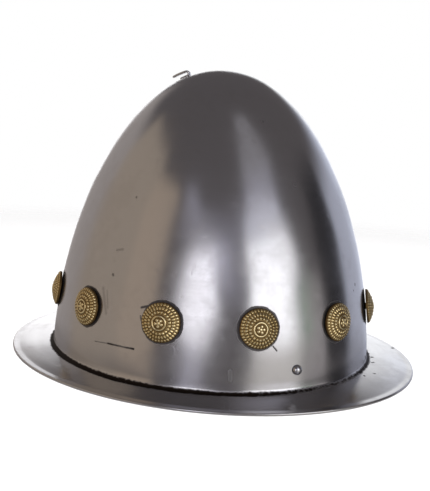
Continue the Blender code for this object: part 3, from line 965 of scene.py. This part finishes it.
@dataclass
class Rosettes:
    """The twelve cast brass rosettes: domes with a boss, rings of beads and a ring of rays."""

    form: HelmetForm
    shank: Shank
    columns: int = 256
    face_rows: int = 78
    radius: float = 0.0125
    rise: float = 0.0056
    edge: float = 0.0012
    rim_round: float = 0.0005
    seed: int = 11
    tilts: tuple[tuple[float, float], ...] = (
        (0.6, 1.0), (1.0, -0.6), (0.3, 1.2), (2.6, 1.4), (0.8, -1.0), (1.4, 0.4),
        (0.5, -0.8), (1.1, 0.9), (0.4, -1.3), (1.6, 0.5), (0.7, 1.1), (1.2, -0.4),
    )

    def relief(self, share: np.ndarray, angle: np.ndarray, random: np.random.Generator) -> np.ndarray:
        """Return the height of the raised pattern over the dome, in millimetres.

        A ring of beads is a hump across the radius times a rounded cosine round the ring.

        Args:
            share: Radius as a share of the rosette's, rows by columns.
            angle: Angle round the rosette.
            random: The source of the small differences between castings.

        Returns:
            Heights in millimetres.
        """

        def hump(centre: float, half: float) -> np.ndarray:
            return np.clip(1.0 - ((share - centre) / half) ** 2, 0.0, 1.0)

        def beads(centre: float, half: float, count: int, height: float, sharp: float) -> np.ndarray:
            phase = random.uniform(0.0, 2 * math.pi)
            uneven = 1.0 + 0.18 * np.sin(angle * random.integers(2, 5) + random.uniform(0.0, 6.0))
            around = np.clip(0.5 + 0.5 * np.cos(count * angle + phase), 0.0, 1.0) ** sharp
            return height * uneven * np.sqrt(hump(centre, half)) * around

        x, y = share * np.cos(angle), share * np.sin(angle)
        height = 0.10 * hump(0.0, 0.26)
        turns = np.arange(5) * 2 * math.pi / 5 + random.uniform(0.0, 1.0)
        centres = np.vstack(((0.0, 0.0), np.stack((0.165 * np.cos(turns), 0.165 * np.sin(turns)), axis=-1)))
        for centre_x, centre_y in centres:
            apart = ((x - centre_x) ** 2 + (y - centre_y) ** 2) / 0.080**2
            height += 0.42 * np.sqrt(np.clip(1.0 - apart, 0.0, 1.0))
        height += 0.40 * np.sqrt(hump(0.345, 0.045))
        height += 0.12 * hump(0.455, 0.03)
        height += beads(0.545, 0.062, 20, 0.46, 0.7)
        height += 0.10 * hump(0.630, 0.02)
        height += beads(0.735, 0.085, 30, 0.42, 0.8)
        height += 0.12 * hump(0.835, 0.02)
        height += beads(0.915, 0.062, 36, 0.44, 0.8)
        return height

    def skins(self, number: int, matrix: np.ndarray) -> list[Skin]:
        """Return one rosette with its shank as a single skin.

        The face is a dome, edge + crown (1 - share^2), plus the relief. Small waves make each
        casting's outline and dome a little different.
        """
        random = np.random.default_rng(self.seed + number)
        shares = np.linspace(0.0, 1.0, self.face_rows + 1)[1:]
        angles = np.linspace(0.0, 2 * math.pi, self.columns, endpoint=False)
        share, angle = np.meshgrid(shares, angles, indexing="ij")
        outline = 1.0 + sum(
            random.uniform(0.001, 0.006) * np.cos(waves * angles + random.uniform(0.0, 6.0)) for waves in (2, 3, 5, 8)
        ) - 0.012
        crown = self.rise - self.edge - self.relief(np.zeros((1, 1)), np.zeros((1, 1)), random)[0, 0] * MM
        relief = self.relief(share, angle, random)
        rough = 0.035 * np.sin(9 * share * np.cos(angle) + number) * np.sin(11 * share * np.sin(angle) + 2 * number)
        heights = self.form.gap + self.edge + crown * (1.0 - share**2) + (relief + rough) * MM
        face_radii = self.radius * share * outline
        turned = np.linspace(0.0, math.pi / 2, 6)[1:]
        rim_radii = self.radius - self.rim_round * (1.0 - np.cos(turned[::-1] - math.pi / 2)) * 0.0
        wall = np.linspace(0.75, 0.0, 4)
        back = np.linspace(0.96, 0.2, 7)
        rim_radii = np.concatenate((self.radius * np.ones(len(wall)), self.radius * back))
        rim_heights = np.concatenate((self.form.gap + self.edge * wall, np.full(len(back), self.form.gap)))
        pin = self.shank.profile()[1:]
        low_radii = np.concatenate((rim_radii, pin[:, 0]))
        low_heights = np.concatenate((rim_heights, pin[:, 1]))
        low = np.where(low_radii[:, None] > self.radius * 0.5, low_radii[:, None] * outline, low_radii[:, None])
        radii = np.vstack((face_radii, low))
        all_heights = np.vstack((heights, np.broadcast_to(low_heights[:, None], low.shape)))
        crest = np.vstack((np.clip(relief / 0.45, 0.0, 1.0), np.zeros(low.shape)))
        # The recess mask is patina in the face's hollows, and painted shade on the rim wall, the back and the shank.
        recess = np.vstack((np.clip(1.0 - relief / 0.22, 0.0, 1.0), np.ones(low.shape)))
        rings = self.tilt(turn_profile(radii, all_heights, self.columns), number)
        top = self.form.gap + self.edge + crown + self.relief(np.zeros((1, 1)), np.zeros((1, 1)), random)[0, 0] * MM
        skin = turned_skin(rings, top, self.shank.end(), matrix, {"crest": crest, "recess": recess})
        peak = self.tilt(np.array((((0.0, 0.0, top),),)), number)[0, 0]
        skin.first_pole = place(peak, matrix)
        return [skin]

    def tilt(self, rings: np.ndarray, number: int) -> np.ndarray:
        """Return the rings with the head tilted on its shank and lifted clear of the skull."""
        down, side = (math.radians(value) for value in self.tilts[number - 1])
        lift = self.radius * (abs(math.tan(down)) + 0.6 * abs(math.tan(side)))
        weight = smooth_step(rings[..., 2], -self.form.sheet, self.form.gap)
        slope = rings[..., 1] * math.tan(-down) + rings[..., 0] * math.tan(side)
        moved = rings.copy()
        moved[..., 2] += weight * (slope + lift)
        return moved

    def build(self, material: bpy.types.Material) -> list[bpy.types.Object]:
        """Build and dress the rosettes, each on its own place round the skull."""
        pieces = []
        for number, matrix in enumerate(self.form.rosette_frames(), start=1):
            name = f"rosette_{number:02d}"
            mesh = build_mesh(f"{name}_finish", self.skins(number, matrix))
            pieces.append(finish_piece(name, mesh, material))
        return pieces


@dataclass
class StrapRivets:
    """The two round-headed rivets near the brim, one on each side."""

    form: HelmetForm
    shank: Shank
    radius: float = 0.0032
    rise: float = 0.0024
    columns: int = 48
    head_rows: int = 16

    def skin(self, matrix: np.ndarray) -> Skin:
        """Return a rivet: a quarter ellipse for the head, the back and the shank."""
        turned = np.linspace(0.0, math.pi / 2, self.head_rows + 1)[1:]
        head = np.stack((self.radius * np.sin(turned), self.form.gap + self.rise * np.cos(turned)), axis=-1)
        back = np.array(((self.radius * 0.97, self.form.gap), (self.radius * 0.6, self.form.gap)))
        profile = np.vstack((head, back, self.shank.profile()[1:]))
        rings = turn_profile(profile[:, 0], profile[:, 1], self.columns)
        # The back rows take the corner mask, which paints shade at the rivet's foot.
        low = (profile[:, 1] <= self.form.gap * 1.5)[:, None] * np.ones(self.columns)
        masks = {"crease": low * 0.9}
        return turned_skin(rings, self.form.gap + self.rise, self.shank.end(), matrix, masks)

    def build(self, material: bpy.types.Material) -> list[bpy.types.Object]:
        """Build and dress both rivets."""
        pieces = []
        for side, turn in (("right", 1.0), ("left", -1.0)):
            matrix = self.form.skull_frame(turn * self.form.strap_rivet_angle, self.form.strap_rivet_height)
            name = f"strap_rivet_{side}"
            pieces.append(finish_piece(name, build_mesh(f"{name}_finish", [self.skin(matrix)]), material))
        return pieces


@dataclass
class Stalk:
    """The steel tongue near the top: a foot on the skull, folded back to point to the rear."""

    form: HelmetForm
    shank: Shank
    thickness: float = 0.0017
    width: float = 0.0048
    tip_width: float = 0.0034
    foot: float = 0.0060
    fold_radius: float = 0.0016
    tongue: float = 0.0115
    opening: float = math.radians(9)
    droop: float = math.radians(14)
    columns: int = 40
    foot_rows: int = 12
    fold_rows: int = 18
    tongue_rows: int = 26
    end_rows: int = 6

    def middle_line(self) -> tuple[np.ndarray, np.ndarray]:
        """Return the strip's middle line as distance and heading.

        The heading is 0 along the foot, turns evenly through the fold, then droops along the tongue.
        """
        folded = math.pi - self.opening
        fold = self.fold_radius * folded
        stops = np.cumsum((0.0, self.foot, fold, self.tongue))
        counts = (self.foot_rows, self.fold_rows, self.tongue_rows)
        spans = [np.linspace(a, b, count, endpoint=False) for a, b, count in zip(stops, stops[1:], counts)]
        distance = np.concatenate((*spans, [stops[-1]]))
        heading = np.interp(distance, stops, (0.0, 0.0, folded, folded + self.droop))
        return distance, heading

    def strip(self, matrix: np.ndarray) -> Skin:
        """Return the strip: a rounded rectangle carried along the middle line, its ends rounded off.

        The section is a superellipse of power 4. At the ends its size falls as a quarter circle.
        """
        distance, heading = self.middle_line()
        fine = np.linspace(0.0, distance[-1], 2000)
        fine_heading = np.interp(fine, distance, heading)
        step = fine[1]
        fine_x = -self.foot / 2 + np.concatenate(([0.0], np.cumsum(np.cos(fine_heading[:-1]) * step)))
        level = self.form.gap + self.thickness / 2
        fine_z = level + np.concatenate(([0.0], np.cumsum(np.sin(fine_heading[:-1]) * step)))
        end = self.thickness / 2
        closing = end * (1.0 - np.cos(np.linspace(0.0, math.pi / 2, self.end_rows + 1)))[1:]
        inner = distance[(distance > end) & (distance < distance[-1] - end)]
        stops = np.concatenate((closing[:1] * 0.3, closing, inner, distance[-1] - closing[::-1], distance[-1] - closing[:1] * 0.3))
        x, z, turned = (np.interp(stops, fine, values) for values in (fine_x, fine_z, fine_heading))
        near_end = np.minimum(stops, distance[-1] - stops)
        size = np.sqrt(np.clip(1.0 - np.clip(1.0 - near_end / end, 0.0, 1.0) ** 2, 0.0, 1.0))
        taper = smooth_step(stops, distance[-1] - self.tongue, distance[-1])
        half_width = (self.width + (self.tip_width - self.width) * taper) / 2 - end * (1.0 - size) * 0.6
        half_thick = self.thickness / 2 * size
        angles = np.linspace(0.0, 2 * math.pi, self.columns, endpoint=False)
        across = np.sign(np.cos(angles)) * np.abs(np.cos(angles)) ** 0.5 * half_width[:, None]
        through = np.sign(np.sin(angles)) * np.abs(np.sin(angles)) ** 0.5 * half_thick[:, None]
        sine, cosine = np.sin(turned)[:, None], np.cos(turned)[:, None]
        rings = np.stack((x[:, None] - through * sine, across, z[:, None] + through * cosine), axis=-1)
        poles = np.array(((fine_x[0], 0.0, fine_z[0]), (fine_x[-1], 0.0, fine_z[-1])))
        shift = stops[0] * np.array((math.cos(heading[0]), 0.0, math.sin(heading[0])))
        poles[0] += 0.0 * shift
        # The underside of the foot takes the corner mask, which paints shade under the foot.
        under = (through < -0.6 * half_thick[:, None]) * (stops < self.foot)[:, None]
        masks = {"crease": under * 0.8, "cut_edge": (np.abs(across) > 0.9 * half_width[:, None]) * 0.7}
        placed = place(poles, matrix)
        share = np.linspace(0.0, 1.0, self.columns + 1)
        return Skin(place(rings, matrix), placed[0], placed[1], share, stops, masks)

    def pin(self, matrix: np.ndarray) -> Skin:
        """Return the pin, from inside the foot to its clenched end."""
        shank = self.shank.profile()
        head = np.array(((self.shank.radius, self.form.gap + self.thickness / 2),))
        profile = np.vstack((head, shank[1:]))
        rings = turn_profile(profile[:, 0], profile[:, 1], self.columns)
        return turned_skin(rings, float(head[0, 1]), self.shank.end(), matrix, {})

    def build(self, material: bpy.types.Material) -> bpy.types.Object:
        """Build and dress the stalk."""
        matrix = self.form.stalk_frame()
        mesh = build_mesh("stalk_finish", [self.strip(matrix), self.pin(matrix)])
        return finish_piece("stalk", mesh, material)


# --------------------------------------------------------------------------- studio


@dataclass(frozen=True)
class Viewpoint:
    """The camera, as fitted to the photograph: degrees, metres and pixels."""

    azimuth: float = 15.56
    distance: float = 0.4516
    height: float = 0.1420
    pitch: float = 7.976
    yaw: float = -0.046
    roll: float = -3.174
    focal_pixels: float = 583.7
    long_side_pixels: float = 491.0
    sensor_mm: float = 36.0

    def build(self) -> bpy.types.Object:
        """Build the camera and make it the scene's own.

        The camera stands at the azimuth, looks across the helmet with the pitch down, and is
        rolled about its line of sight.
        """
        facing = math.radians(self.azimuth + self.yaw)
        pitch, roll = math.radians(self.pitch), math.radians(self.roll)
        ahead = np.array((-math.sin(facing) * math.cos(pitch), math.cos(facing) * math.cos(pitch), -math.sin(pitch)))
        level = np.cross(ahead, (0.0, 0.0, 1.0))
        level /= np.linalg.norm(level)
        upright = np.cross(level, ahead)
        right = level * math.cos(roll) - upright * math.sin(roll)
        up = level * math.sin(roll) + upright * math.cos(roll)
        placed = np.eye(4)
        placed[:3, 0], placed[:3, 1], placed[:3, 2] = right, up, -ahead
        turned = math.radians(self.azimuth)
        placed[:3, 3] = math.sin(turned) * self.distance, -math.cos(turned) * self.distance, self.height
        data = bpy.data.cameras.new("view")
        data.sensor_width = self.sensor_mm
        data.sensor_fit = "AUTO"
        data.lens = self.focal_pixels * self.sensor_mm / self.long_side_pixels
        data.clip_start, data.clip_end = 0.01, 50.0
        camera = bpy.data.objects.new("view", data)
        camera.matrix_world = Matrix(placed.tolist())
        bpy.context.scene.collection.objects.link(camera)
        bpy.context.scene.camera = camera
        return camera


@dataclass(frozen=True)
class Panel:
    """A soft screen round the studio, as seen from the helmet.

    Attributes:
        azimuth: From and to, in degrees from the camera's side, positive to its right.
        elevation: From and to, in degrees above the horizon.
        colour: The light that it sends, red, green and blue. Below zero it takes light away.
        soft: How far its sides and its upper and lower edges fade, in degrees.
    """

    azimuth: tuple[float, float]
    elevation: tuple[float, float]
    colour: Vector3
    soft: tuple[float, float]


@dataclass(frozen=True)
class Studio:
    """The surroundings that the steel mirrors, a pale floor and an overhead softbox."""

    camera_azimuth: float = 15.56
    steel: float = 0.555
    backdrop: Vector3 = (1.0, 1.0, 1.0)
    ambient: Vector3 = (0.068, 0.062, 0.064)
    floor_radius: float = 1.4
    panels: tuple[Panel, ...] = (
        Panel((23, 56), (-3, 24), (1.05, 1.06, 1.10), (3, 4)),
        Panel((22, 54), (24, 36), (0.36, 0.37, 0.42), (3, 12)),
        Panel((22, 54), (32, 46), (0.12, 0.12, 0.15), (4, 10)),
        Panel((20, 58), (44, 74), (0.11, 0.11, 0.12), (8, 8)),
        Panel((24, 60), (-24, -3), (0.36, 0.35, 0.33), (6, 3)),
        Panel((-22, -4), (-3, 21), (1.05, 1.05, 1.12), (4, 5)),
        Panel((-20, -10), (-22, -3), (0.28, 0.28, 0.34), (5, 4)),
        Panel((-32, -20), (26, 42), (0.13, 0.13, 0.16), (6, 8)),
        Panel((-6, 8), (15, 23), (0.26, 0.26, 0.32), (6, 4)),
        Panel((-22, 20), (10, 34), (0.07, 0.07, 0.09), (6, 8)),
        Panel((-66, -39), (-16, 38), (0.19, 0.148, 0.105), (5, 8)),
        Panel((-114, -66), (-16, 47), (0.16, 0.130, 0.095), (8, 8)),
        Panel((-156, -114), (-16, 36), (0.16, 0.145, 0.135), (8, 12)),
        Panel((-200, -157), (-16, 21), (0.88, 0.88, 0.89), (5, 6)),
        Panel((157, 200), (-16, 24), (0.70, 0.72, 0.74), (8, 12)),
        Panel((109, 158), (-16, 24), (0.24, 0.26, 0.32), (4, 20)),
        Panel((140, 158), (-16, 20), (0.09, 0.10, 0.12), (8, 16)),
        Panel((83, 108), (-14, 34), (-0.050, -0.045, -0.045), (4, 14)),
        Panel((63, 81), (-16, 9), (0.17, 0.16, 0.16), (4, 6)),
        Panel((57, 68), (-3, 10), (-0.01, 0.05, 0.0), (4, 6)),
        Panel((-200, 200), (-90, -24), (0.16, 0.16, 0.16), (8, 10)),
    )

    def panel_group(self) -> bpy.types.NodeTree:
        """Make the group that gives how much of a panel lies in a direction.

        Two eased steps at the sides and two at the upper and lower edges are multiplied.
        """
        inputs = {"Azimuth": 0.0, "Elevation": 0.0, "Left": 0.0, "Right": 0.0, "Low": 0.0, "High": 0.0}
        effect = Effect("studio_panel", inputs | {"Side": 3.0, "Rim": 3.0}, ("Share",))
        bench, source = effect.bench, effect.source
        share = None
        for value, edge, soft, rising in (
            ("Azimuth", "Left", "Side", True),
            ("Azimuth", "Right", "Side", False),
            ("Elevation", "Low", "Rim", True),
            ("Elevation", "High", "Rim", False),
        ):
            half = bench.math("MULTIPLY", source[soft], 0.5)
            low, high = bench.math("SUBTRACT", source[edge], half), bench.math("ADD", source[edge], half)
            side = bench.window(source[value], low, high, *((0.0, 1.0) if rising else (1.0, 0.0)))
            share = side if share is None else bench.math("MULTIPLY", share, side)
        effect.put_out("Share", share)
        self_tree = effect.tree
        return self_tree

    def build_world(self) -> bpy.types.World:
        """Build the surroundings: panels for what the helmet mirrors, a plain backdrop for the view."""
        world = bpy.data.worlds.new("studio")
        world.use_nodes = True
        bpy.context.scene.world = world
        tree = world.node_tree
        bench = Bench(tree)
        direction = bench.add("ShaderNodeTexCoord").outputs["Generated"]
        parts = bench.add("ShaderNodeSeparateXYZ", {"Vector": direction}).outputs
        back = bench.math("MULTIPLY", parts["Y"], -1.0)
        turned = bench.math("DEGREES", bench.math("ARCTAN2", parts["X"], back))
        turned = bench.math("WRAP", bench.math("SUBTRACT", turned, self.camera_azimuth), 180.0, -180.0)
        risen = bench.math("DEGREES", bench.math("ARCSINE", parts["Z"]))
        group = self.panel_group()
        light = bench.add("ShaderNodeCombineXYZ", {"X": self.ambient[0], "Y": self.ambient[1], "Z": self.ambient[2]})
        light = light.outputs[0]
        for panel in self.panels:
            inputs = {"Azimuth": turned, "Elevation": risen, "Left": panel.azimuth[0], "Right": panel.azimuth[1]}
            inputs |= {"Low": panel.elevation[0], "High": panel.elevation[1]}
            inputs |= {"Side": panel.soft[0], "Rim": panel.soft[1]}
            share = bench.add("ShaderNodeGroup", inputs, node_tree=group).outputs["Share"]
            glow = bench.add("ShaderNodeVectorMath", {0: panel.colour, "Scale": share}, operation="SCALE")
            light = bench.vector("ADD", light, glow.outputs["Vector"])
        light = bench.vector("MAXIMUM", light, (0.0, 0.0, 0.0))
        mirrored = bench.add("ShaderNodeBackground", {"Color": light, "Strength": 1.0 / self.steel})
        seen = bench.add("ShaderNodeBackground", {"Color": (*self.backdrop, 1.0), "Strength": 1.0})
        camera_ray = bench.add("ShaderNodeLightPath").outputs["Is Camera Ray"]
        mixed = bench.add("ShaderNodeMixShader", {0: camera_ray, 1: mirrored.outputs[0], 2: seen.outputs[0]})
        tree.links.new(mixed.outputs[0], tree.nodes["World Output"].inputs["Surface"])
        return world

    def build_floor(self) -> bpy.types.Object:
        """Build the floor: a pale disc that fades into the backdrop and can't be seen from below."""
        rings, columns = 24, 96
        shares = np.linspace(0.0, 1.0, rings + 1)[1:]
        angles = np.linspace(0.0, 2 * math.pi, columns, endpoint=False)
        grid = self.floor_radius * shares[:, None, None] * np.stack((np.cos(angles), np.sin(angles), 0 * angles), -1)
        row, column = np.meshgrid(np.arange(rings - 1), np.arange(columns), indexing="ij")
        following = (column + 1) % columns
        corners = (row * columns + column, (row + 1) * columns + column)
        corners += ((row + 1) * columns + following, row * columns + following)
        quads = np.stack(corners, axis=-1).reshape(-1, 4)
        middle = rings * columns
        fan = np.stack((np.full(columns, middle), np.arange(columns), (np.arange(columns) + 1) % columns), axis=-1)
        points = np.vstack((grid.reshape(-1, 3), (0.0, 0.0, 0.0)))
        mesh = bpy.data.meshes.new("floor")
        mesh.from_pydata(points.tolist(), [], quads.tolist() + fan.tolist())
        mesh.update()
        floor = bpy.data.objects.new("floor", mesh)
        bpy.context.scene.collection.objects.link(floor)
        mesh.materials.append(self.floor_material())
        floor.visible_glossy = False
        floor.visible_diffuse = False
        floor.visible_shadow = False
        return floor

    def floor_material(self) -> bpy.types.Material:
        """Make the matt pale floor, clear at its rim and from below."""
        material = bpy.data.materials.new("pale_floor")
        material.use_nodes = True
        tree = material.node_tree
        bench = Bench(tree)
        shader = tree.nodes["Principled BSDF"]
        shader.inputs["Base Color"].default_value = (0.86, 0.86, 0.86, 1.0)
        shader.inputs["Roughness"].default_value = 0.9
        shader.inputs["Specular IOR Level"].default_value = 0.1
        far = bench.length(bench.add("ShaderNodeTexCoord").outputs["Object"])
        rim = bench.window(far, self.floor_radius * 0.35, self.floor_radius * 0.95)
        behind = bench.add("ShaderNodeNewGeometry").outputs["Backfacing"]
        clear = bench.add("ShaderNodeBsdfTransparent").outputs[0]
        hidden = bench.math("MAXIMUM", rim, behind)
        mixed = bench.add("ShaderNodeMixShader", {0: hidden, 1: shader.outputs[0], 2: clear})
        tree.links.new(mixed.outputs[0], tree.nodes["Material Output"].inputs["Surface"])
        return material

    def build_light(self) -> bpy.types.Object:
        """Build the overhead softbox that lights the floor."""
        data = bpy.data.lights.new("overhead_softbox", "AREA")
        data.shape = "DISK"
        data.size = 2.2
        data.energy = 62.0
        light = bpy.data.objects.new("overhead_softbox", data)
        light.location = (0.1, -0.3, 1.9)
        light.visible_glossy = False
        bpy.context.scene.collection.objects.link(light)
        return light

    def build(self) -> None:
        """Build the world, the floor and the light, with plain colours to the screen."""
        self.build_world()
        self.build_floor()
        self.build_light()
        bpy.context.scene.view_settings.view_transform = "Standard"


# --------------------------------------------------------------------------- the whole


def main() -> None:
    """Build the helmet piece by piece, then the studio round it."""
    logging.basicConfig(level=logging.INFO, format="%(name)s: %(message)s", stream=sys.stdout)
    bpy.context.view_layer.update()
    effects = Effects.make()
    shank = Shank(FORM)
    SHELL.build(SteelFinish("polished_steel_sheet", marked=True).make(effects))
    Rosettes(FORM, shank).build(BrassFinish("cast_brass_finish").make(effects))
    StrapRivets(FORM, shank).build(SteelFinish("rivet_steel_finish", roughness=0.16).make(effects))
    Stalk(FORM, shank).build(SteelFinish("stalk_steel_finish", roughness=0.24).make(effects))
    Studio().build()
    Viewpoint().build()


if __name__ == "__main__":
    main()
